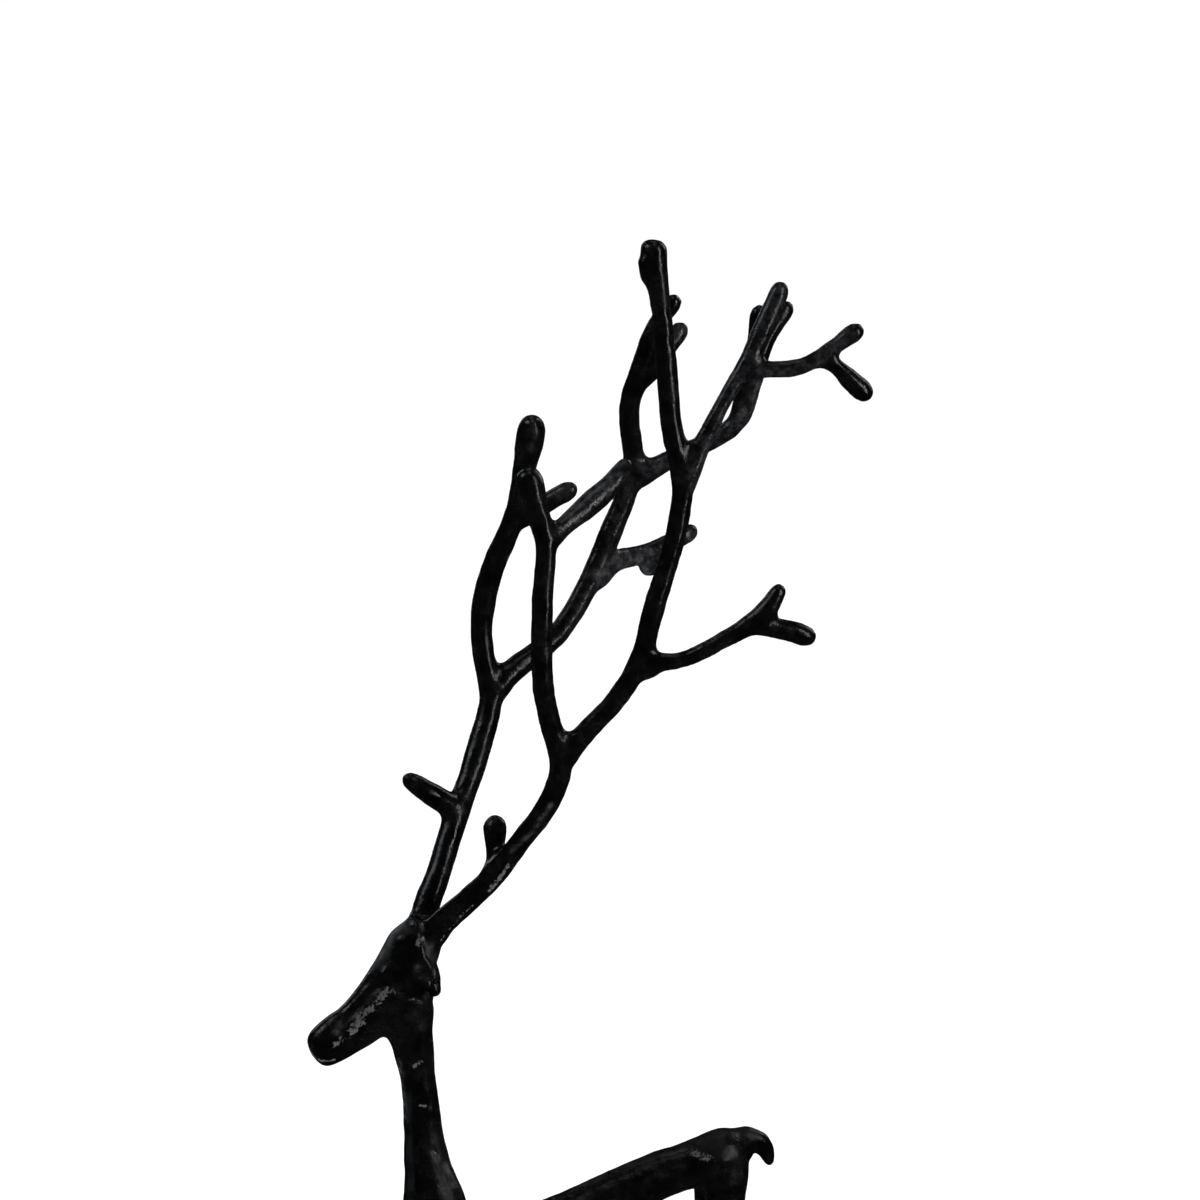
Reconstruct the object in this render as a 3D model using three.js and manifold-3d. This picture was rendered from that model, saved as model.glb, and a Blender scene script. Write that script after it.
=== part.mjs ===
// Reindeer figure of cast metal, standing on a low base plate.
// Millimetres, +Z up. The nose points toward -X, the tail toward +X, and the animal's left side is -Y.
// The origin is the centre of the base's underside.

import * as THREE from "three";
import { mergeVertices } from "three/addons/utils/BufferGeometryUtils.js";
import Module from "manifold-3d";

const wasm = await Module();
wasm.setup();

// Size of the whole figure, sole to highest tine. Its pose and proportions are drawn below on a
// sheet 681 units high, and one unit of that sheet follows the figure's height.
const FIGURE_HEIGHT = 681;
const UNIT = FIGURE_HEIGHT / 681;

// Base plate
const BASE_THICKNESS = 12;
const BASE_MARGIN = 26; // from the outermost hoof to the edge, lengthwise
const BASE_SIDE_MARGIN = 30; // the same, sideways
const BASE_CORNER = 30; // corner radius in plan
const BASE_EDGE = 2.5; // rounding along the upper and lower edges
const SEAT_GAP = 0.3; // between the soles and the plate

// Antler thicknesses, across the limb
const ROOT = 14.4;
const BEAM = 13;
const STEM = 12.3;
const BRANCH = 11.2;
const TINE = 10;
const FINGER = 8.8;
const SLIM = 7.8;
const PADDLE = 15.2;

// Cross-section of the antler limbs: the depth as a share of the width, and the power that sets
// how far the round section turns into a soft four-edged one (2 is round).
const ANTLER_DEPTH = 0.86;
const ANTLER_EDGE = 1.55;
const ANTLER_SIDES = 8;
const BODY_SIDES = 12;
const ROUND = 2;

// Spacing of the rings along a limb, and the rings that round each of its ends
const RING_STEP = 9;
const END_RINGS = 2;

// Facets of the base: along each rounded edge and round each corner
const EDGE_RINGS = 2;
const CORNER_FACETS = 8;

// The pose is drawn as a viewer sees it who stands at the animal's left, turned toward its front
// and a little above it: how far across, how far up, and how far to the animal's right side.
const VIEW_TURN = THREE.MathUtils.degToRad(18);
const VIEW_TILT = THREE.MathUtils.degToRad(14);

function drawn(across, up, side) {
  const x = (across + side * Math.sin(VIEW_TURN)) / Math.cos(VIEW_TURN);
  const rise = side * Math.cos(VIEW_TURN) + x * Math.sin(VIEW_TURN);
  const z = (up - rise * Math.sin(VIEW_TILT)) / Math.cos(VIEW_TILT);
  return new THREE.Vector3(x, side, z).multiplyScalar(UNIT);
}

const SIDEWAYS = new THREE.Vector3(0, 1, 0);

// A limb is a capsule bent along a smooth curve through its stations. A station is a point and a
// width there, with a depth where it isn't the usual share of the width. `blunt` flattens the far
// end: 1 is a round end, and a small value is nearly square.
function limb(stations, { sides = ANTLER_SIDES, edge = ANTLER_EDGE, depth = ANTLER_DEPTH, blunt = 1 } = {}) {
  const path = new THREE.CatmullRomCurve3(stations.map((s) => s.at), false, "centripetal");
  const length = path.getLength();
  const rootEnd = Math.min(stations[0].width / 2, length / 3);
  const tipEnd = Math.min((stations.at(-1).width / 2) * blunt, length / 3);
  const rings = Math.max(2, Math.round(length / RING_STEP));
  const geometry = new THREE.CapsuleGeometry(1, 1, END_RINGS, sides, rings);
  const corners = geometry.attributes.position;
  for (let i = 0; i < corners.count; i++) {
    const [x, y, z] = [corners.getX(i), corners.getY(i), corners.getZ(i)];
    const along = lengthwise(y, length, rootEnd, tipEnd);
    const t = path.getUtoTmapping(THREE.MathUtils.clamp(along / length, 0, 1));
    const [width, thickness] = sizeAt(stations, t, depth);
    const tangent = path.getTangent(t);
    const toward = SIDEWAYS.clone().addScaledVector(tangent, -tangent.dot(SIDEWAYS)).normalize();
    const across = tangent.clone().cross(toward);
    const fullness = squareness(x, z, edge);
    const point = path.getPoint(t);
    point.addScaledVector(across, (x * fullness * width) / 2);
    point.addScaledVector(toward, (z * fullness * thickness) / 2);
    corners.setXYZ(i, point.x, point.y, point.z);
  }
  return solid(geometry);
}

// Where a height on the unit capsule, -1.5 to 1.5 with round ends past 0.5, lies along a limb
function lengthwise(height, length, rootEnd, tipEnd) {
  if (height < -0.5) return rootEnd * (height + 1.5);
  if (height > 0.5) return length - tipEnd * (1.5 - height);
  return rootEnd + (height + 0.5) * (length - rootEnd - tipEnd);
}

// A limb's width and depth at curve parameter t, eased from station to station
function sizeAt(stations, t, depth) {
  const last = stations.length - 1;
  const before = Math.min(Math.floor(t * last), last - 1);
  const blend = THREE.MathUtils.smoothstep(t * last - before, 0, 1);
  const depthOf = (s) => s.depth ?? s.width * depth;
  const [a, b] = [stations[before], stations[before + 1]];
  return [
    THREE.MathUtils.lerp(a.width, b.width, blend),
    THREE.MathUtils.lerp(depthOf(a), depthOf(b), blend),
  ];
}

// How far a corner of the round section moves in or out for a soft four-edged one
function squareness(x, z, edge) {
  const ring = Math.hypot(x, z);
  if (ring < 1e-6) return 0;
  return (Math.abs(x / ring) ** edge + Math.abs(z / ring) ** edge) ** (-1 / edge);
}

// A closed solid from a geometry: shared corners merged, and the collapsed faces at its ends dropped
function solid(geometry) {
  const bare = geometry.clone();
  bare.deleteAttribute("normal");
  bare.deleteAttribute("uv");
  const merged = mergeVertices(bare, 1e-4);
  const corners = merged.index.array;
  const kept = [];
  for (let i = 0; i < corners.length; i += 3) {
    const [a, b, c] = corners.slice(i, i + 3);
    if (a !== b && b !== c && c !== a) kept.push(a, b, c);
  }
  const vertProperties = Float32Array.from(merged.attributes.position.array);
  return new wasm.Manifold(new wasm.Mesh({ numProp: 3, vertProperties, triVerts: Uint32Array.from(kept) }));
}

function fuse(solids) {
  return solids.reduce((whole, next) => whole.add(next));
}

// A station of an antler has its side and one of the named thicknesses. One of the body lies in
// the middle plane, and its width and depth are drawn like its place.
function station(across, up, side, width) {
  return { at: drawn(across, up, side), width };
}

function flesh(across, up, width, depth) {
  return { at: drawn(across, up, 0), width: width * UNIT, depth: depth * UNIT };
}

// The far antler, on the animal's right side
function rightAntler() {
  const beam = limb([
    station(-84, 303, 5, ROOT),
    station(-82.5, 320, 8, ROOT),
    station(-76.6, 336, 14, BEAM),
    station(-68.3, 363, 25, BEAM),
    station(-61.8, 381, 33, BEAM),
    station(-55, 403.5, 41, BEAM),
    station(-50, 424, 47, STEM),
    station(-54.6, 454, 52, BRANCH),
    station(-53.8, 471.5, 53, STEM),
    station(-49, 490, 51, STEM),
    station(-37.5, 518, 45, BRANCH),
    station(-34, 536, 41, BRANCH),
    station(-30.3, 554.5, 38, PADDLE),
    station(-28.7, 567, 36, PADDLE),
  ]);
  const brow = limb([
    station(-64, 368, 28, BEAM),
    station(-76, 374.7, 25, STEM),
    station(-93.5, 385.8, 20, FINGER),
  ]);
  const innerTine = limb([
    station(-38, 512, 46, BRANCH),
    station(-29, 518.5, 42, TINE),
    station(-7.2, 531.3, 33, TINE),
  ]);
  const branch = limb([
    station(-50.2, 424, 47, BEAM),
    station(-41.8, 436.5, 50, BEAM),
    station(-18.3, 455.2, 57, BRANCH),
    station(-5, 474.7, 61, BRANCH),
    station(9.5, 506.5, 65, STEM),
    station(21.3, 540, 66, BRANCH),
    station(19.2, 569, 61, BRANCH),
    station(24.8, 590, 57, BRANCH),
    station(33.2, 612, 55, TINE),
    station(44.1, 627, 53, TINE),
  ]);
  const awayTine = limb([
    station(0.5, 481.2, 63, BEAM),
    station(11.2, 493.2, 68, BRANCH),
    station(29, 497.8, 77, TINE),
    station(53.5, 510.2, 85, TINE),
  ]);
  const awayStub = limb([
    station(27, 499, 76, TINE),
    station(30.9, 486.8, 80, BRANCH),
  ]);
  const upperTwin = limb([
    station(22, 581, 59, BRANCH),
    station(31, 591.5, 59, BEAM),
    station(39.6, 602.4, 60, TINE),
    station(47.5, 613.2, 62, TINE),
  ]);
  const rearBranch = limb([
    station(20, 533, 66, BEAM),
    station(38.5, 544, 60, TINE),
    station(61, 554.5, 54, TINE),
    station(74, 563.6, 52, TINE),
    station(81.8, 584.3, 53, TINE),
    station(87, 603, 55, TINE),
    station(100, 624, 58, TINE),
  ]);
  const rearTwin = limb([
    station(74, 563, 52, TINE),
    station(76, 578, 48, SLIM),
    station(82, 597, 43, TINE),
    station(85, 622.3, 40, TINE),
  ]);
  return fuse([beam, brow, innerTine, branch, awayTine, awayStub, upperTwin, rearBranch, rearTwin]);
}

// The near antler, on the animal's left side
function leftAntler() {
  const beam = limb([
    station(-81, 299, -5, ROOT),
    station(-76.5, 310, -8, ROOT),
    station(-61.3, 324, -18, BEAM),
    station(-50.2, 334.5, -25, STEM),
    station(-34, 355.1, -35, BRANCH),
    station(-22.7, 369.8, -42, BRANCH),
    station(-14.6, 391, -47, STEM),
    station(-20.8, 415, -50, BRANCH),
    station(-24, 436, -53, BRANCH),
    station(-23.9, 474, -52, BRANCH),
    station(-22.3, 504, -48, BRANCH),
    station(-27.2, 519, -45, BEAM),
    station(-30.2, 532, -42, PADDLE),
    station(-29.5, 541, -40, BRANCH),
  ]);
  const brow = limb([
    station(-50, 332, -25, BRANCH),
    station(-48.3, 344, -22, SLIM),
    station(-47.6, 352, -19, TINE),
    station(-47.5, 360, -17, BEAM),
    station(-48, 367, -15, BRANCH),
  ]);
  const innerTine = limb([
    station(-21.5, 501.5, -48, BRANCH),
    station(-14.2, 510.1, -44, TINE),
    station(1.4, 523.5, -36, BEAM),
    station(11.6, 533.3, -32, BRANCH),
    station(19.5, 545, -29, SLIM),
  ]);
  const branch = limb([
    station(-15.5, 390, -47, STEM),
    station(-5.9, 404.3, -51, BRANCH),
    station(15, 427.3, -58, BRANCH),
    station(25.6, 447.3, -62, BRANCH),
    station(31.6, 470.5, -63, BRANCH),
    station(41.9, 504, -61, BRANCH),
    station(46, 531.5, -59, BRANCH),
    station(40.3, 561.5, -55, BRANCH),
    station(37.9, 590, -51, BRANCH),
    station(35.2, 620, -46, TINE),
    station(32.6, 637, -43, STEM),
    station(31.3, 646.5, -41, PADDLE),
    station(31.8, 653.5, -40, BEAM),
  ], { blunt: 0.4 });
  const lowBranch = limb([
    station(24, 436, -61, BRANCH),
    station(34, 443, -65, TINE),
    station(45, 444, -68, FINGER),
    station(64.5, 453.2, -73, FINGER),
    station(84.8, 466.1, -76, BRANCH),
    station(96, 482, -77, SLIM),
  ]);
  const lowTwin = limb([
    station(80, 461.5, -75, SLIM),
    station(97.5, 459.3, -77, TINE),
    station(112.5, 454.8, -79, BRANCH),
  ]);
  const rearBranch = limb([
    station(45.5, 526, -60, BRANCH),
    station(53.6, 546.8, -59, TINE),
    station(66.3, 573.1, -58, SLIM),
    station(77.7, 591.8, -56, TINE),
    station(86.5, 610, -54, BRANCH),
    station(96.3, 633, -51, TINE),
  ]);
  const rearTwin = limb([
    station(76, 588, -57, TINE),
    station(88, 588.9, -59, FINGER),
    station(106.5, 590.9, -62, FINGER),
    station(118.6, 598.8, -64, SLIM),
    station(135.6, 610.4, -66, TINE),
  ]);
  const rearTwinLower = limb([
    station(113, 594.7, -63, SLIM),
    station(121.7, 591.1, -65, SLIM),
    station(139.4, 575, -69, BRANCH),
  ]);
  return fuse([beam, brow, innerTine, branch, lowBranch, lowTwin, rearBranch, rearTwin, rearTwinLower]);
}

// Head with its blunt muzzle, the neck, the slim sloping trunk and the short tail
function body() {
  const head = limb([
    flesh(-83.5, 314.5, 23, 20),
    flesh(-89, 300, 28.5, 23),
    flesh(-96.5, 284, 31, 24),
    flesh(-107, 271.3, 28, 21),
    flesh(-115.5, 263, 25.5, 18),
    flesh(-126.5, 255.3, 23, 16),
    flesh(-139, 247, 18.8, 14),
  ], { sides: BODY_SIDES, edge: ROUND, blunt: 0.35 });
  const neck = limb([
    flesh(-91, 286, 23, 18),
    flesh(-91.8, 267, 28.4, 18),
    flesh(-89.2, 253, 21, 16.5),
    flesh(-86.2, 234, 17.2, 15),
    flesh(-83.8, 208.5, 19.2, 16),
    flesh(-81.5, 190, 23.6, 20),
    flesh(-78.5, 172, 32, 25),
    flesh(-76, 154, 36, 29),
    flesh(-77, 140, 34, 29),
    flesh(-79, 126, 24, 24),
  ], { sides: BODY_SIDES, edge: ROUND });
  const trunk = limb([
    flesh(-82, 150, 32, 27),
    flesh(-58, 148.5, 34, 31),
    flesh(-28, 156.7, 28, 28),
    flesh(5, 171.9, 25.6, 25),
    flesh(35, 185.7, 23.6, 25),
    flesh(50, 190.6, 22.4, 26),
    flesh(65, 196, 24.8, 29),
    flesh(79, 203, 20, 21),
  ], { sides: BODY_SIDES, edge: ROUND });
  const tail = limb([
    flesh(72, 204, 13, 12),
    flesh(81.8, 204.2, 10.6, 9.5),
    flesh(88, 198.6, 8.8, 8),
    flesh(90.4, 189.6, 5, 5.5),
  ], { sides: ANTLER_SIDES, edge: ROUND });
  return fuse([head, neck, trunk, tail]);
}

// One ear, a drooping leaf with a hollow toward the side. It is drawn as the left ear, and `side`
// is -1 for the left one and 1 for its mirror image.
function ear(side) {
  const mirrored = (across, up, out, width, depth) => {
    const at = drawn(across, up, -out);
    at.y *= -side;
    return { at, width: width * UNIT, depth: depth * UNIT };
  };
  const leaf = limb([
    mirrored(-83.5, 304, 9, 9, 6),
    mirrored(-83, 293, 13.5, 13, 6.5),
    mirrored(-79.5, 284, 15, 11.5, 5.5),
    mirrored(-76.3, 275.5, 14.5, 5.5, 3),
  ], { edge: ROUND });
  const hollow = limb([
    mirrored(-84.5, 297, 16.5, 4, 3),
    mirrored(-83.5, 290, 18, 7, 4),
    mirrored(-79.5, 282, 17.5, 3, 3),
  ], { edge: ROUND });
  return leaf.subtract(hollow);
}

// A leg as an outline in the animal's own side view, from inside the body down to the sole.
// A leg leans outward from `spread` at its top to HOOF_SPREAD at the sole.
const HIND_LEG = [
  [72, 203, 18, 10],
  [69.6, 190, 24.2, 14],
  [68.6, 170, 20, 13],
  [71.5, 150, 15.5, 12],
  [77, 122, 11, 10],
  [79.5, 104, 11.5, 9.5],
  [77, 74, 8.5, 8.5],
  [75, 34, 8, 8],
  [74.5, 17, 9, 9],
  [72, 0, 14, 12],
  [71, -8, 16, 13],
];
const FORE_LEG = [
  [-79, 186, 16, 10],
  [-80, 168, 26, 14],
  [-84, 148, 20, 13.5],
  [-86, 128, 13.5, 11],
  [-86, 100, 10.5, 9.5],
  [-86.5, 84, 11, 9.5],
  [-86, 62, 8.2, 8.2],
  [-85, 30, 8, 8],
  [-85, 16, 9, 9],
  [-87.5, 0, 14, 12],
  [-88.5, -8, 16, 13],
];
const HIP_SPREAD = 7;
const SHOULDER_SPREAD = 5.5;
const HOOF_SPREAD = 15;
const STRIDE = 6; // how far one leg of a pair stands ahead of the other

function leg(outline, side, spread, stride) {
  const top = outline[0][1];
  return limb(outline.map((sheet) => {
    const [x, z, width, depth] = sheet.map((value) => value * UNIT);
    const down = (top - sheet[1]) / top;
    const y = side * THREE.MathUtils.lerp(spread, HOOF_SPREAD, down);
    return { at: new THREE.Vector3(x + stride * down, y, z), width, depth };
  }), { edge: ROUND });
}

// The whole figure is one casting, cut flat under the soles
function figure() {
  const ground = new THREE.BoxGeometry(FIGURE_HEIGHT, FIGURE_HEIGHT, FIGURE_HEIGHT);
  ground.translate(0, 0, -FIGURE_HEIGHT / 2);
  return fuse([
    body(),
    ear(-1),
    ear(1),
    leg(HIND_LEG, -1, HIP_SPREAD, 0),
    leg(HIND_LEG, 1, HIP_SPREAD, -STRIDE),
    leg(FORE_LEG, -1, SHOULDER_SPREAD, 0),
    leg(FORE_LEG, 1, SHOULDER_SPREAD, STRIDE),
    rightAntler(),
    leftAntler(),
  ]).subtract(solid(ground));
}

function geometryOf(manifold) {
  const mesh = manifold.getMesh();
  const geometry = new THREE.BufferGeometry();
  geometry.setAttribute("position", new THREE.BufferAttribute(mesh.vertProperties, 3));
  geometry.setIndex(new THREE.BufferAttribute(mesh.triVerts, 1));
  return geometry;
}

// The base plate reaches past the outermost hooves by its margins
function basePlate() {
  const hoofLength = FORE_LEG.at(-2)[2];
  const reach = Math.max(-FORE_LEG.at(-2)[0], HIND_LEG.at(-2)[0]) + hoofLength / 2;
  const spread = HOOF_SPREAD + (FORE_LEG.at(-2)[3] / 2) * UNIT;
  const halfLength = reach * UNIT + BASE_MARGIN - BASE_EDGE;
  const halfWidth = spread + BASE_SIDE_MARGIN - BASE_EDGE;
  const corner = Math.min(BASE_CORNER, halfWidth - BASE_EDGE);
  const plan = new THREE.Shape();
  plan.moveTo(-halfLength + corner, -halfWidth);
  plan.absarc(halfLength - corner, -halfWidth + corner, corner, -Math.PI / 2, 0);
  plan.absarc(halfLength - corner, halfWidth - corner, corner, 0, Math.PI / 2);
  plan.absarc(-halfLength + corner, halfWidth - corner, corner, Math.PI / 2, Math.PI);
  plan.absarc(-halfLength + corner, -halfWidth + corner, corner, Math.PI, 1.5 * Math.PI);
  const plate = new THREE.ExtrudeGeometry(plan, {
    depth: BASE_THICKNESS - 2 * BASE_EDGE,
    bevelThickness: BASE_EDGE,
    bevelSize: BASE_EDGE,
    bevelSegments: EDGE_RINGS,
    curveSegments: CORNER_FACETS,
  });
  return plate.translate(0, 0, BASE_EDGE);
}

const blackMetal = new THREE.MeshStandardMaterial({ color: 0x0b0c0f, roughness: 0.3, metalness: 0.9 });
const blackPlate = new THREE.MeshStandardMaterial({ color: 0x0d0e11, roughness: 0.38, metalness: 0.9 });

const reindeer = new THREE.Mesh(geometryOf(figure()), blackMetal);
reindeer.name = "reindeer";
reindeer.position.z = BASE_THICKNESS + SEAT_GAP;

const base = new THREE.Mesh(basePlate(), blackPlate);
base.name = "base";

const group = new THREE.Group();
group.add(base, reindeer);

export default group;
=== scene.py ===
"""A tall black cast-metal reindeer on its low plate, dressed for a studio photograph.

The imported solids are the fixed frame, in metres. The nose points toward -X, and the animal's left
side is -Y. The figure's fine surface grows from its own solid: the crotches get fillets, the facets
melt into soft ridges, the skin gets the unevenness of hand work, and modelling strokes add the
features of the head, the tines and the tail. Lengths named in capitals are in millimetres unless
they say otherwise.
"""

import math

import bpy
import numpy as np
import openvdb as vdb
from mathutils import Matrix, Vector, noise
from mathutils.bvhtree import BVHTree


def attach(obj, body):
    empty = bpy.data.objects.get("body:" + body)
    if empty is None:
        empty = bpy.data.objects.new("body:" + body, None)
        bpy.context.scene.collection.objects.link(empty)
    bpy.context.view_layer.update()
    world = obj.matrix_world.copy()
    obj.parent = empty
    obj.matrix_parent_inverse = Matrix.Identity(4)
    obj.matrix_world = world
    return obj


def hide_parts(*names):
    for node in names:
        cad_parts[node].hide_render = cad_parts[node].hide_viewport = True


MM = 0.001

# The photograph's view: the direction of the camera, the point it looks at, and its scale
PHOTO_SIZE = 1200
MM_PER_PIXEL = 0.5
VIEW_AZIMUTH = math.radians(-18)
VIEW_ELEVATION = math.radians(14)
AIM = Vector((5.0, 0, 500.7)) * MM
CAMERA_DISTANCE = 20.0  # metres; far away, because the photograph shows next to no perspective
CLIP_END = 5 * CAMERA_DISTANCE
SENSOR_WIDTH = 36.0

# The casting's fine surface
VOXEL = 1.3
BAND_VOXELS = 6  # how far from the surface distances are known
FILLET = 2.8  # radius of the webs in the crotches
MELT = 1.5  # how far the facets are rounded off
MELT_TAPS = 2  # voxels that the rounding reads to each side
MELT_SHRINK = 0.58  # what the rounding takes off the limbs, given back
RELAX_ROUNDS = 12
RELAX_STEPS = (0.6, -0.62)  # each round pulls the points together, then pushes them back

# The base plate: edges that turn by less than this are shaded round, and its skin is coarser
SMOOTH_UNDER = math.radians(50)
PLATE_GRAIN = 1.6

# Unevenness left by hand work: (size of the waves, their height)
WAVES = [(26.0, 0.30), (9.0, 0.32), (4.2, 0.14)]

# A stroke is full on its line and fades away beside it: how fast, and where it ends.
STROKE_FADE = 1.2
LEAST_SHARE = 0.01

# Strokes of the modelling tool, drawn on the photograph: their pixels, their width, and how far
# they raise or sink the skin. Those of the head are repeated on its far side.
HEAD_STROKES = {
    "eye_hollow": ([(399, 977), (405, 984)], 7.0, -1.5),
    "eyelid": ([(395, 973), (403, 971), (410, 974)], 1.4, 0.5),
    "antler_root_edge": ([(411, 920), (413, 914)], 2.6, 1.2),
    "antler_root": ([(416, 922), (426, 922)], 2.2, 0.9),
    "brow": ([(383, 974), (392, 966), (404, 963)], 2.6, 0.8),
    "cheekbone": ([(388, 993), (374, 1008), (357, 1026), (340, 1042)], 2.8, 1.0),
    "hollow_over_cheekbone": ([(376, 986), (360, 1003), (342, 1021)], 3.4, -0.9),
    "jaw_crease": ([(398, 1012), (374, 1029), (352, 1044), (332, 1053)], 2.0, -0.7),
    "forehead": ([(376, 964), (390, 941), (402, 924)], 6.0, -0.2),
    "muzzle_bridge": ([(318, 1030), (332, 1015)], 4.0, 0.3),
    "nostril": ([(316, 1044), (319, 1047)], 1.5, -0.9),
    "ear_ridge": ([(421, 936), (420, 947), (422, 957), (429, 968)], 1.6, 1.2),
    "ear_tip_ridge": ([(432, 977), (430, 986)], 1.5, 0.8),
    "ear_lobe": ([(434, 989), (437, 991)], 2.5, 1.2),
    "ear_foot": ([(431, 997), (435, 997)], 2.2, 1.2),
    "ear_hollow": ([(420, 971), (424, 982)], 3.0, -1.8),
    "under_ear": ([(409, 998), (423, 996)], 1.8, -0.9),
}
NEAR_STROKES = {
    "neck_groove": ([(407, 1056), (407, 1100), (409, 1150), (410, 1192)], 1.8, -0.5),
    "neck_dent_high": ([(412, 1062), (420, 1066)], 2.2, -0.5),
    "neck_dent_middle": ([(418, 1104), (427, 1104)], 1.6, -0.4),
    "neck_dent_low": ([(434, 1152), (437, 1156)], 2.0, -0.5),
    "rump_dent": ([(694, 1160), (706, 1162)], 3.4, -0.5),
    "tail_root": ([(727, 1133), (738, 1132)], 5.0, 0.7),
    "tail_foot": ([(751, 1158), (750, 1166)], 3.0, 1.1),
    "back_line": ([(682, 1143), (700, 1135), (710, 1133)], 5.0, -0.4),
    "beam_ridge": ([(512, 851), (533, 830), (552, 803)], 1.4, 0.4),
    "tail_groove": ([(757, 1146), (768, 1152), (774, 1162)], 1.5, -0.6),
    "right_fork_high": ([(772, 606), (777, 594)], 6.0, 0.6),
    "right_fork_low": ([(766, 630), (798, 634)], 7.0, 1.1),
    "small_tine": ([(560, 492), (572, 488)], 6.0, 0.8),
    "brow_tine": ([(406, 762), (424, 780)], 7.0, 0.5),
    "left_paddle_flare": ([(524, 480), (529, 494)], 7.5, 1.3),
    "upper_paddle_flare": ([(531, 425), (530, 442)], 7.5, 0.6),
    "left_paddle": ([(526, 484), (533, 504), (540, 522)], 3.2, -0.7),
    "upper_paddle_ridge": ([(534, 424), (531, 444), (527, 464)], 1.4, 0.6),
    "upper_paddle": ([(524, 428), (522, 446)], 2.4, -0.5),
    "top_paddle": ([(650, 266), (654, 290)], 2.6, -0.5),
    "top_paddle_flare": ([(642, 265), (645, 280)], 3.6, 2.0),
    "fork_paddle_high": ([(847, 337), (854, 331)], 6.0, 0.8),
    "fork_paddle_low": ([(846, 384), (864, 394)], 6.5, 1.5),
}

# Where pale metal colour is painted over the black, flecked, on both sides: on the cheeks, the
# muzzle's side and the rump partly wear through to the metal and partly painted highlight; on the
# ear's ridge, the neck, the near beam and the muzzle's rim painted glints and highlight rims.
# Pixels, width, and how much of the black is gone
WORN_AND_GLINT_PARTS = {
    "cheek_high": ([(385, 991), (379, 1002)], 3.9, 0.64),
    "cheek_middle": ([(372, 1008), (366, 1013)], 3.3, 0.62),
    "cheek_low": ([(360, 1020), (352, 1031)], 4.2, 0.68),
    "muzzle_side": ([(342, 1039), (335, 1045)], 2.8, 0.6),
    "ear_ridge_high": ([(421, 937), (420, 947)], 1.7, 0.9),
    "ear_ridge_low": ([(420, 947), (422, 957), (429, 967)], 1.2, 1.0),
    "ear_glint": ([(432, 979), (430, 984)], 0.9, 1.0),
    "neck_high": ([(414, 1067), (421, 1062)], 1.7, 0.7),
    "neck_middle": ([(419, 1107), (426, 1106)], 0.8, 0.75),
    "neck_low": ([(434, 1153), (436, 1155)], 1.2, 0.8),
    "rump": ([(695, 1155), (708, 1161)], 4.2, 0.56),
    "beam_glint": ([(508, 866), (498, 880), (489, 891)], 2.2, 0.66),
    "beam_edge": ([(441, 941), (462, 915), (474, 904)], 1.1, 0.62),
    "muzzle_rim": ([(309, 1048), (314, 1056), (322, 1061), (334, 1060)], 1.0, 0.9),
}

# Where a mottled grey is painted over the black: on some tines for their paler, silvery look, and
# on the forehead, the neck's front and back, the inner ear, the muzzle's side and the beam's ridge
# as painted sheen and highlight. Pixels, width and share
GREY_PARTS = {
    "left_fork": ([(562, 520), (592, 492), (622, 464)], 6.0, 1.0),
    "far_tine": ([(602, 576), (622, 556), (652, 548)], 7.0, 0.7),
    "far_tine_end": ([(690, 534), (697, 530)], 4.0, 0.5),
    "far_nub": ([(640, 558), (648, 570)], 5.0, 0.9),
    "upper_paddle": ([(534, 422), (532, 446)], 2.4, 0.5),
    "small_tine": ([(554, 494), (572, 486)], 3.2, 0.5),
    "right_beam": ([(690, 482), (712, 440), (730, 394), (748, 352), (780, 292)], 5.5, 0.3),
    "right_loop": ([(720, 433), (742, 418), (756, 398), (758, 380)], 5.5, 0.55),
    "right_branch": ([(756, 370), (790, 371), (820, 359), (850, 334)], 5.0, 0.35),
    "bridge": ([(648, 466), (664, 458)], 5.0, 0.7),
    "far_stub": ([(676, 332), (682, 328)], 5.0, 0.6),
    "far_beam": ([(566, 632), (597, 585), (618, 520), (632, 478)], 5.0, 0.18),
    "forehead": ([(374, 964), (386, 944), (400, 926)], 3.6, 1.4),
    "neck_front": ([(399, 1064), (402, 1090), (405, 1120)], 1.8, 0.7),
    "neck_back": ([(446, 1168), (454, 1186)], 2.6, 1.0),
    "inner_ear": ([(417, 968), (424, 980)], 2.0, 0.6),
    "muzzle_side": ([(337, 1032), (341, 1022)], 2.0, 0.7),
    "beam_ridge": ([(512, 851), (533, 830), (552, 803)], 0.9, 1.3),
}

# Where the finish is duller than elsewhere, on both sides: pixels, width and share
DULL_PARTS = {
    "neck_foot": ([(436, 1140), (444, 1175), (450, 1210), (456, 1260)], 7.5, 0.9),
    "rump_side": ([(700, 1140), (720, 1150), (736, 1160)], 6.0, 0.9),
    "tail_top": ([(716, 1134), (735, 1132), (757, 1138)], 5.0, 1.0),
    "back": ([(590, 1184), (640, 1160), (684, 1146)], 6.0, 0.5),
    "forehead": ([(377, 962), (388, 942), (400, 928)], 5.0, 1.2),
    "behind_ear": ([(431, 941), (435, 958)], 2.6, 1.2),
}

# The black finish and its smokier tone; a grey, painted as sheen and for the tines' paler look; and
# a pale metal colour, painted as glints and highlight rims and partly as wear through the black
BLACK = (0.0008, 0.0008, 0.001, 1)
SMOKE = (0.0052, 0.0051, 0.0054, 1)
GREY = (0.098, 0.1, 0.106, 1)
BARE_AND_GLINT = (0.12, 0.113, 0.105, 1)
IOR = 1.45

# The skin's noises: the length of their waves, their detail and their roughness
SKIN = {
    "cloud": (14, 3, 0.5),
    "mottle": (5, 4, 0.6),
    "pebble": (3.2, 3, 0.6),
    "grit": (1.2, 2, 0.5),
    "fleck": (1.5, 2, 0.5),
}

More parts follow.
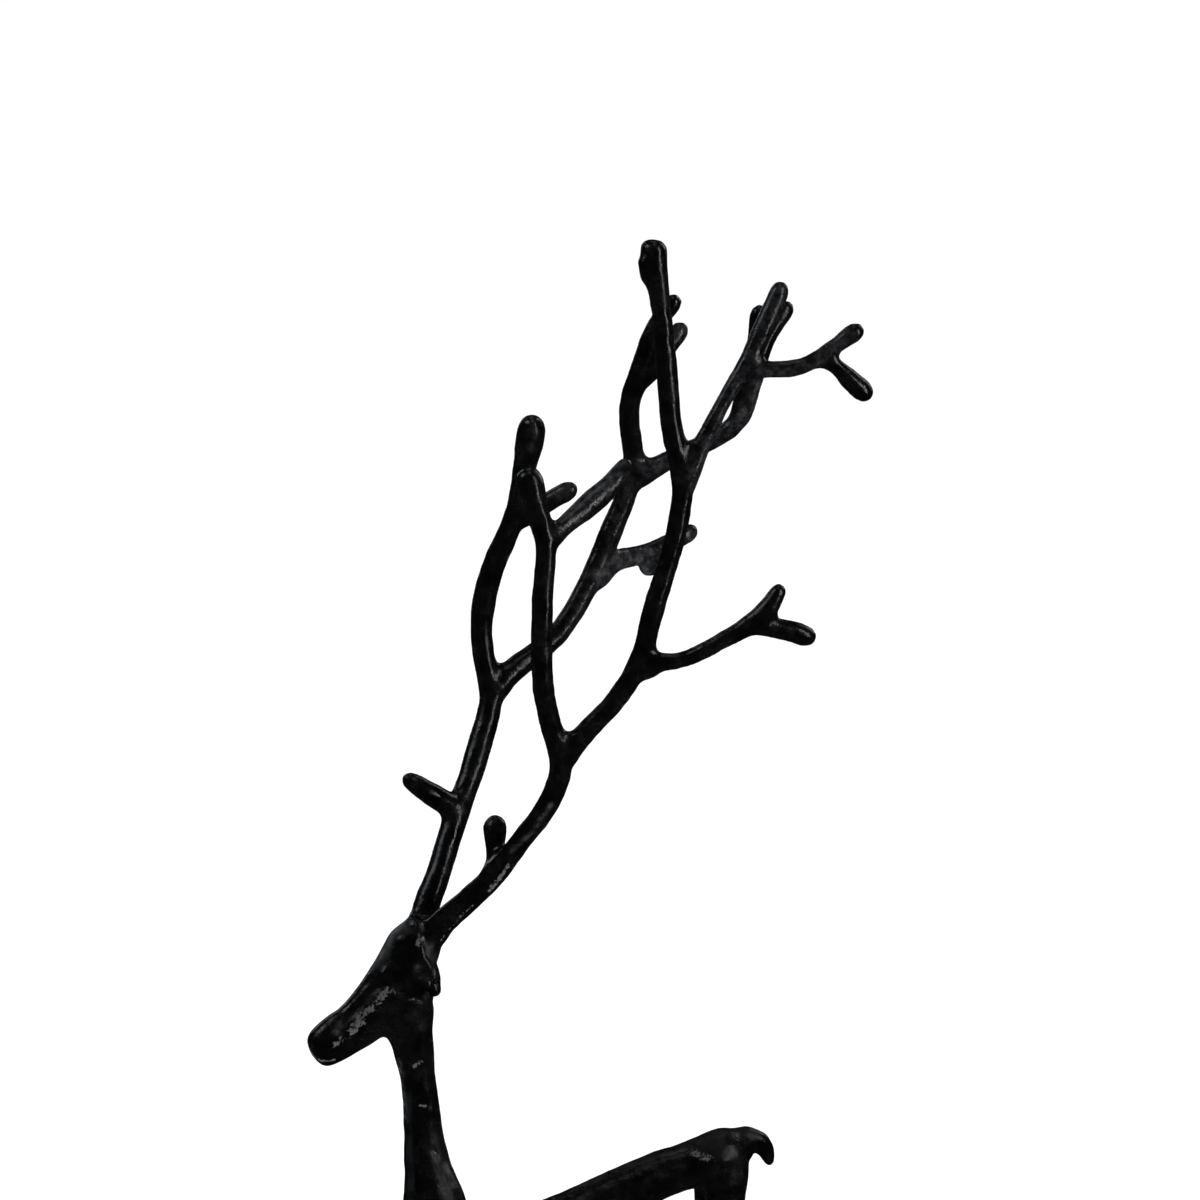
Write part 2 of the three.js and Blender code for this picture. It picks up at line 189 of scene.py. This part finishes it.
# What the noises do: the values between which a noise, or a sum of two, takes effect, and what
# it turns into
WHOLE = (0, 1)
SMOKE_BETWEEN = (0.85, 1.3)
GREY_BETWEEN = (0.42, 0.7)
GREY_MOTTLE_SHARE = (0.14, 1.0)  # of the grey, from the darkest to the palest mottle
FLECKS_BETWEEN = (0.95, 1.06)
CLOUD_BETWEEN = (0.3, 0.7)
CLOUD_ROUGHNESS = (0.14, 0.26)
MOTTLE_BETWEEN = (0.35, 0.65)
MOTTLE_ROUGHNESS = (-0.03, 0.07)  # added to the cloud's
DULL_ROUGHNESS = (0, 0.22)  # added where the finish is dull
GRIT_SHARE = 0.35  # of the grit in the relief, beside the pebbles
BUMP_STRENGTH = 0.6
BUMP_HEIGHT = 0.45

# The floor, and the light that it has for itself
FLOOR_SIZE = 40.0  # metres
FLOOR_COLOUR = (0.9, 0.9, 0.9, 1)
FLOOR_ROUGHNESS = 0.9
FLOOR_LIGHT = 3.4
FLOOR_LIGHT_ANGLE = math.radians(50)

# The surround, as the camera sees it and as the metal mirrors it: colour and strength
SEEN = ((1, 1, 1, 1), 1.0)
MIRRORED = ((0.8, 0.88, 1, 1), 0.02)

# Soft lights: bearing from the camera's own and height in degrees, distance and size in metres,
# power in watts, and colour
WHITE = (1, 1, 1)
COOL = (0.9, 0.95, 1)
BLUISH = (0.75, 0.88, 1)
SOFTBOXES = {
    "right_strip": (55, 16, 1.6, (0.11, 1.4), 6.5, WHITE),
    "left_box": (-66, 44, 1.8, (0.7, 0.7), 4, COOL),
    "top_box": (20, 80, 1.6, (0.5, 0.5), 0.8, WHITE),
    "low_left_box": (-80, -24, 1.1, (0.4, 0.12), 0.05, BLUISH),
    "back_left_box": (-142, 24, 1.9, (0.5, 1.3), 2.6, COOL),
    "back_right_box": (132, 24, 1.9, (0.4, 1.3), 4.5, WHITE),
    "back_box": (180, 60, 1.9, (0.7, 0.5), 0.8, WHITE),
}

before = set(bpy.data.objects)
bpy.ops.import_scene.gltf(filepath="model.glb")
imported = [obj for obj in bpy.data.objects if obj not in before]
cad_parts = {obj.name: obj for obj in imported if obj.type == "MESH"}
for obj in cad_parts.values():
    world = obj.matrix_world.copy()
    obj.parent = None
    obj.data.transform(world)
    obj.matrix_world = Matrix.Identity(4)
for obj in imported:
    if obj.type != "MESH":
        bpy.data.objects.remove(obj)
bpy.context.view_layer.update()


def bearing(azimuth, elevation):
    """The direction at an azimuth from the animal's left side, and at a height over the floor."""
    level = math.cos(elevation)
    return Vector((math.sin(azimuth) * level, -math.cos(azimuth) * level, math.sin(elevation)))


def view_axes():
    """The camera's own directions: to its right, up, and back toward it."""
    right = Vector((math.cos(VIEW_AZIMUTH), math.sin(VIEW_AZIMUTH), 0))
    back = bearing(VIEW_AZIMUTH, VIEW_ELEVATION)
    return right, back.cross(right), back


def under_pixel(tree, pixel):
    """The point of a surface that the photograph shows at a pixel, or the nearest one to it."""
    right, up, back = view_axes()
    across = (pixel[0] - PHOTO_SIZE / 2) * MM_PER_PIXEL * MM
    rise = (PHOTO_SIZE / 2 - pixel[1]) * MM_PER_PIXEL * MM
    target = AIM + right * across + up * rise
    return tree.ray_cast(target + back, -back)[0] or tree.find_nearest(target)[0]


def mesh_arrays(obj):
    """An object's corners in millimetres and its triangles."""
    mesh = obj.data
    mesh.calc_loop_triangles()
    corners = np.empty(len(mesh.vertices) * 3, np.float32)
    mesh.vertices.foreach_get("co", corners)
    triangles = np.empty(len(mesh.loop_triangles) * 3, np.int32)
    mesh.loop_triangles.foreach_get("vertices", triangles)
    return corners.reshape(-1, 3) / MM, triangles.reshape(-1, 3).astype(np.uint32)


def level_set(corners, triangles=None, quads=None):
    """The signed distance to a closed surface, in a band round it."""
    return vdb.FloatGrid.createLevelSetFromPolygons(
        corners.astype(np.float32),
        triangles=triangles,
        quads=quads,
        transform=vdb.createLinearTransform(voxelSize=VOXEL),
        halfWidth=float(BAND_VOXELS),
    )


def filleted(distance, radius):
    """The same solid with its inner corners filled to a radius: grown by it, then shrunk by it."""
    corners, quads = distance.convertToQuads(isovalue=radius)
    return level_set(corners, quads=quads)


def sampled(grid, low, shape):
    """A grid's values in a box of voxels."""
    values = np.empty(shape, np.float32)
    grid.copyToArray(values, ijk=low)
    return values


def melted(values, reach):
    """A distance field blurred along each axis, which rounds edges by about that reach."""
    sigma = reach / VOXEL
    steps = np.arange(-MELT_TAPS, MELT_TAPS + 1)
    taps = np.exp(-0.5 * (steps / sigma) ** 2)
    taps /= taps.sum()
    for axis in range(3):
        values = sum(np.roll(values, step, axis) * tap for step, tap in zip(steps, taps))
    return values


def fine_surface(node):
    """Quads of a node's solid with its crotches filleted and its facets melted together."""
    plain = level_set(*mesh_arrays(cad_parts[node]))
    low, high = plain.evalActiveVoxelBoundingBox()
    low = tuple(int(v) - BAND_VOXELS for v in low)
    shape = tuple(int(h) + BAND_VOXELS - l for h, l in zip(high, low))
    webbed = sampled(filleted(plain, FILLET), low, shape) + FILLET
    grid = vdb.FloatGrid(float(BAND_VOXELS * VOXEL))
    grid.transform = vdb.createLinearTransform(voxelSize=VOXEL)
    grid.copyFromArray(melted(webbed, MELT), ijk=low)
    return grid.convertToQuads(isovalue=MELT_SHRINK)


def object_from(name, corners, faces):
    """A new object of these quads, in millimetres, with its normals outward."""
    mesh = bpy.data.meshes.new(name)
    mesh.from_pydata((corners * MM).tolist(), [], faces.tolist())
    mesh.validate()
    obj = bpy.data.objects.new(name, mesh)
    bpy.context.scene.collection.objects.link(obj)
    if signed_volume(corners, faces) < 0:
        mesh.flip_normals()
    mesh.polygons.foreach_set("use_smooth", [True] * len(mesh.polygons))
    return obj


def signed_volume(corners, faces):
    """The volume inside quads, below zero where they face inward."""
    a, b, c, d = (corners[faces[:, i]].astype(float) for i in range(4))
    first = np.einsum("ij,ij->i", a, np.cross(b, c)).sum()
    return (first + np.einsum("ij,ij->i", a, np.cross(c, d)).sum()) / 6


def vertex_arrays(mesh):
    """A mesh's vertices and their normals."""
    places = np.empty(len(mesh.vertices) * 3)
    normals = np.empty(len(mesh.vertices) * 3)
    mesh.vertices.foreach_get("co", places)
    mesh.vertices.foreach_get("normal", normals)
    return places.reshape(-1, 3), normals.reshape(-1, 3)


def move_out(obj, heights):
    """Moves each vertex along its normal by its height in metres."""
    places, normals = vertex_arrays(obj.data)
    places += normals * heights[:, None]
    obj.data.vertices.foreach_set("co", places.ravel())
    obj.data.update()


def relax(obj):
    """Evens the surface out without shrinking it."""
    mesh = obj.data
    edges = np.empty(len(mesh.edges) * 2, np.int64)
    mesh.edges.foreach_get("vertices", edges)
    a, b = edges.reshape(-1, 2).T
    count = np.bincount(np.concatenate([a, b]), minlength=len(mesh.vertices))[:, None]
    places, _ = vertex_arrays(mesh)
    for _ in range(RELAX_ROUNDS):
        for step in RELAX_STEPS:
            total = np.zeros_like(places)
            for axis in range(3):
                total[:, axis] = np.bincount(a, places[b, axis], len(places))
                total[:, axis] += np.bincount(b, places[a, axis], len(places))
            places = places + (total / count - places) * step
    mesh.vertices.foreach_set("co", places.ravel())
    mesh.update()


def hand_work(obj):
    """The soft unevenness of a surface that was filed and smoothed by rubbing, all by hand."""
    places, _ = vertex_arrays(obj.data)
    heights = np.zeros(len(places))
    for size, height in WAVES:
        scale = 1 / (size * MM)
        heights += [noise.noise(Vector(p) * scale) * height * MM for p in places]
    move_out(obj, heights)


def cast_plate():
    """The base plate with its rounded edges shaded smoothly."""
    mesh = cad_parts["base"].data.copy()
    plate = bpy.data.objects.new("cast_plate", mesh)
    bpy.context.scene.collection.objects.link(plate)
    mesh.polygons.foreach_set("use_smooth", [True] * len(mesh.polygons))
    mesh.set_sharp_from_angle(angle=SMOOTH_UNDER)
    return plate


def closeness(places, line, width):
    """For each place, 1 on a line of points, falling softly to 0 at about twice its width."""
    share = np.zeros(len(places))
    for start, end in zip(line, line[1:]):
        along = end - start
        t = np.clip((places - start) @ along / (along @ along), 0, 1)[:, None]
        gap = np.linalg.norm(places - start - t * along, axis=1)
        share = np.maximum(share, np.exp(-((gap / (width * MM)) ** 2) * STROKE_FADE))
    return np.where(share > LEAST_SHARE, share, 0)


def drawn_lines(tree, pixels, mirrored):
    """A line drawn on the photograph, as points on the near side and, if asked, the far one."""
    near = np.array([under_pixel(tree, pixel) for pixel in pixels])
    return [near, near * (1, -1, 1)] if mirrored else [near]


def model_strokes(obj, tree, strokes, mirrored):
    """Raises or sinks the skin along each stroke, one after the other."""
    for pixels, width, height in strokes.values():
        for line in drawn_lines(tree, pixels, mirrored):
            places, _ = vertex_arrays(obj.data)
            move_out(obj, closeness(places, line, width) * height * MM)


def paint(obj, tree, name, strokes, mirrored):
    """Stores the strongest stroke at each vertex under that name, for the material to read."""
    places, _ = vertex_arrays(obj.data)
    shares = np.zeros(len(places))
    for pixels, width, share in strokes.values():
        for line in drawn_lines(tree, pixels, mirrored):
            shares = np.maximum(shares, closeness(places, line, width) * share)
    layer = obj.data.attributes.new(name, "FLOAT", "POINT")
    layer.data.foreach_set("value", shares.astype(np.float32))


def camera():
    """A camera at the photograph's viewing angle and scale."""
    right, up, back = view_axes()
    data = bpy.data.cameras.new("camera")
    data.sensor_width = SENSOR_WIDTH
    data.lens = SENSOR_WIDTH * CAMERA_DISTANCE / (PHOTO_SIZE * MM_PER_PIXEL * MM)
    data.clip_end = CLIP_END
    obj = bpy.data.objects.new("camera", data)
    turn = Matrix((right, up, back)).transposed()
    obj.matrix_world = Matrix.Translation(AIM + back * CAMERA_DISTANCE) @ turn.to_4x4()
    bpy.context.scene.collection.objects.link(obj)
    bpy.context.scene.camera = obj


class Nodes:
    """A short way to write a material's or a world's nodes."""

    def __init__(self, tree):
        self.tree = tree

    def add(self, kind, values=(), **settings):
        node = self.tree.nodes.new(kind)
        for key, value in settings.items():
            setattr(node, key, value)
        for key, value in dict(values).items():
            if isinstance(value, bpy.types.NodeSocket):
                self.tree.links.new(value, node.inputs[key])
            else:
                node.inputs[key].default_value = value
        return node

    def noise(self, place, name, grain):
        """One of the skin's noises, with its waves stretched by the grain."""
        size, detail, roughness = SKIN[name]
        scale = 1 / (size * grain * MM)
        values = {"Vector": place, "Scale": scale, "Detail": detail, "Roughness": roughness}
        return self.add("ShaderNodeTexNoise", values).outputs[0]

    def attribute(self, name):
        return self.add("ShaderNodeAttribute", attribute_name=name).outputs["Fac"]

    def between(self, value, start, to=WHOLE):
        """A value that runs through one range, turned into one that runs through the other."""
        values = {"Value": value, "From Min": start[0], "From Max": start[1]}
        values |= {"To Min": to[0], "To Max": to[1]}
        return self.add("ShaderNodeMapRange", values).outputs["Result"]

    def maths(self, operation, a, b):
        return self.add("ShaderNodeMath", {0: a, 1: b}, operation=operation).outputs[0]

    def mix_colours(self, share, a, b):
        """Colour a, or colour b where the share is 1. A Mix node's colour sockets go by number."""
        return self.add("ShaderNodeMix", {0: share, 6: a, 7: b}, data_type="RGBA").outputs[2]


def black_metal(name, grain=1.0):
    """Black satin gloss on a hand-cast skin, mottled and pebbled, with painted grey sheen and
    flecks of glint and wear.
    """
    material = bpy.data.materials.new(name)
    material.use_nodes = True
    tree = material.node_tree
    shader = tree.nodes["Principled BSDF"]
    n = Nodes(tree)
    place = n.add("ShaderNodeTexCoord").outputs["Object"]
    cloud, mottle, pebble, grit, fleck = (n.noise(place, kind, grain) for kind in SKIN)
    worn_and_glint, grey, dull = (n.attribute(name) for name in ("worn_and_glint", "grey", "dull"))
    smoke = n.between(n.maths("ADD", cloud, mottle), SMOKE_BETWEEN)
    black = n.mix_colours(smoke, BLACK, SMOKE)
    # Grey painted over the black, mottled: sheen and highlight on the head, neck and beam, and the
    # tines' paler look
    grey_share = n.maths("MULTIPLY", grey, n.between(mottle, GREY_BETWEEN, GREY_MOTTLE_SHARE))
    black_and_grey = n.mix_colours(grey_share, black, GREY)
    # Pale metal flecks painted over it: glints and highlight rims, and on the cheeks and rump
    # partly wear
    glint_and_wear_flecks = n.between(n.maths("ADD", worn_and_glint, fleck), FLECKS_BETWEEN)
    colour = n.mix_colours(glint_and_wear_flecks, black_and_grey, BARE_AND_GLINT)
    clouded = n.between(cloud, CLOUD_BETWEEN, CLOUD_ROUGHNESS)
    rough = n.maths("ADD", clouded, n.between(mottle, MOTTLE_BETWEEN, MOTTLE_ROUGHNESS))
    rough = n.maths("ADD", rough, n.between(dull, WHOLE, DULL_ROUGHNESS))
    height = n.maths("ADD", pebble, n.maths("MULTIPLY", grit, GRIT_SHARE))
    relief = {"Height": height, "Strength": BUMP_STRENGTH, "Distance": BUMP_HEIGHT * MM}
    bump = n.add("ShaderNodeBump", relief)
    tree.links.new(colour, shader.inputs["Base Color"])
    tree.links.new(rough, shader.inputs["Roughness"])
    tree.links.new(bump.outputs["Normal"], shader.inputs["Normal"])
    shader.inputs["IOR"].default_value = IOR
    return material


def floor():
    """A plain pale floor. The metal doesn't mirror it, or its black would turn to grey."""
    bpy.ops.mesh.primitive_plane_add(size=FLOOR_SIZE, location=(0, 0, 0))
    obj = bpy.context.object
    obj.name = "floor"
    material = bpy.data.materials.new("pale_floor")
    material.use_nodes = True
    shader = material.node_tree.nodes["Principled BSDF"]
    shader.inputs["Base Color"].default_value = FLOOR_COLOUR
    shader.inputs["Roughness"].default_value = FLOOR_ROUGHNESS
    shader.inputs["Specular IOR Level"].default_value = 0.0
    obj.data.materials.append(material)
    obj.visible_glossy = False
    return obj


def light_floor(obj):
    """The floor's own light, which doesn't reach the figure."""
    data = bpy.data.lights.new("floor_light", "SUN")
    data.energy = FLOOR_LIGHT
    data.angle = FLOOR_LIGHT_ANGLE
    lamp = bpy.data.objects.new("floor_light", data)
    bpy.context.scene.collection.objects.link(lamp)
    only_floor = bpy.data.collections.new("floor_only")
    only_floor.objects.link(obj)
    lamp.light_linking.receiver_collection = only_floor


def softbox(name, azimuth, elevation, distance, size, power, colour):
    """A rectangular light that faces the figure."""
    back = bearing(VIEW_AZIMUTH + math.radians(azimuth), math.radians(elevation))
    data = bpy.data.lights.new(name, "AREA")
    data.shape = "RECTANGLE"
    data.size, data.size_y = size
    data.energy = power
    data.color = colour
    obj = bpy.data.objects.new(name, data)
    obj.location = AIM + back * distance
    obj.rotation_euler = back.to_track_quat("Z", "Y").to_euler()
    obj.visible_camera = False
    bpy.context.scene.collection.objects.link(obj)


def surround():
    """A white surround. The metal mirrors it only dimly, or its black would turn to grey."""
    world = bpy.data.worlds.new("studio")
    world.use_nodes = True
    tree = world.node_tree
    n = Nodes(tree)
    seen, mirrored = (
        n.add("ShaderNodeBackground", {"Color": colour, "Strength": strength}).outputs[0]
        for colour, strength in (SEEN, MIRRORED)
    )
    share = n.add("ShaderNodeLightPath").outputs["Is Camera Ray"]
    both = n.add("ShaderNodeMixShader", {0: share, 1: mirrored, 2: seen})
    tree.links.new(both.outputs[0], tree.nodes["World Output"].inputs["Surface"])
    bpy.context.scene.world = world
    bpy.context.scene.view_settings.view_transform = "Standard"


camera()
corners, quads = fine_surface("reindeer")
figure = object_from("cast_figure", corners, quads)
relax(figure)
hand_work(figure)
places, _ = vertex_arrays(figure.data)
skin = BVHTree.FromPolygons(places.tolist(), quads.tolist())
model_strokes(figure, skin, HEAD_STROKES, True)
model_strokes(figure, skin, NEAR_STROKES, False)
# Painted on the skin: flecks of glints and wear, grey sheen, and where the finish is duller
skin_strokes = [("worn_and_glint", WORN_AND_GLINT_PARTS, True), ("grey", GREY_PARTS, False), ("dull", DULL_PARTS, True)]
for name, strokes, mirrored in skin_strokes:
    paint(figure, skin, name, strokes, mirrored)
figure.data.materials.append(black_metal("black_cast_metal"))
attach(figure, "root")
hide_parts("reindeer")
plate = cast_plate()
plate.data.materials.clear()
plate.data.materials.append(black_metal("black_plate_metal", PLATE_GRAIN))
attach(plate, "root")
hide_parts("base")
light_floor(floor())
surround()
for name, values in SOFTBOXES.items():
    softbox(name, *values)
